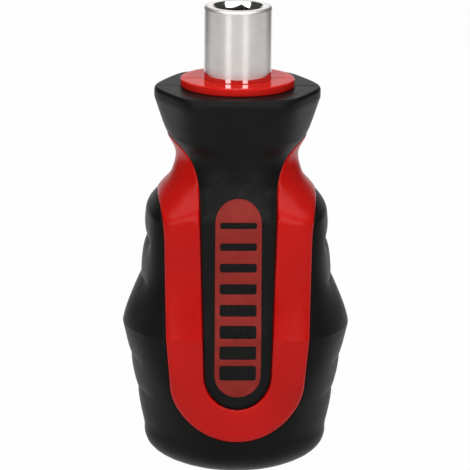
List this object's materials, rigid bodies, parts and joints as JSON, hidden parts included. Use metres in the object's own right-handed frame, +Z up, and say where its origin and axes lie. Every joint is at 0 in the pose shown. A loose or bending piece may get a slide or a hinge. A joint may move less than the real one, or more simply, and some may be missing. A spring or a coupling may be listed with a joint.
{
  "type": "bit holder screwdriver",
  "caption": "Stubby screwdriver handle in red and black with a hexagonal finger guard and a short steel sleeve whose magnetic hex socket takes screwdriver bits.",
  "frame": {"origin": "centre of the flat base on which the handle stands", "axes": "+Z up along the handle's axis towards the bit, +X to the right along the wide direction, front badge facing -Y"},
  "size_m": [0.0368, 0.0294, 0.076],
  "materials": {
    "satin_steel": "satin turned and plated",
    "spring_steel": "drawn wire",
    "magnet_nickel": "nickel plated",
    "core_plastic": "as moulded",
    "red_plastic": "moulded, half gloss",
    "black_grip": "soft, fine matt texture",
    "badge_red": "dull moulded inlay"
  },
  "bodies": {
    "root": {"bit_holder_sleeve": "satin_steel", "bit_retaining_ring": "spring_steel", "socket_magnet": "magnet_nickel", "drive_shank": "satin_steel", "inner_core": "core_plastic", "red_body": "red_plastic", "guard_grip": "black_grip", "palm_grip": "black_grip", "front_badge": "badge_red", "rear_badge": "badge_red"}
  },
  "joints": []
}
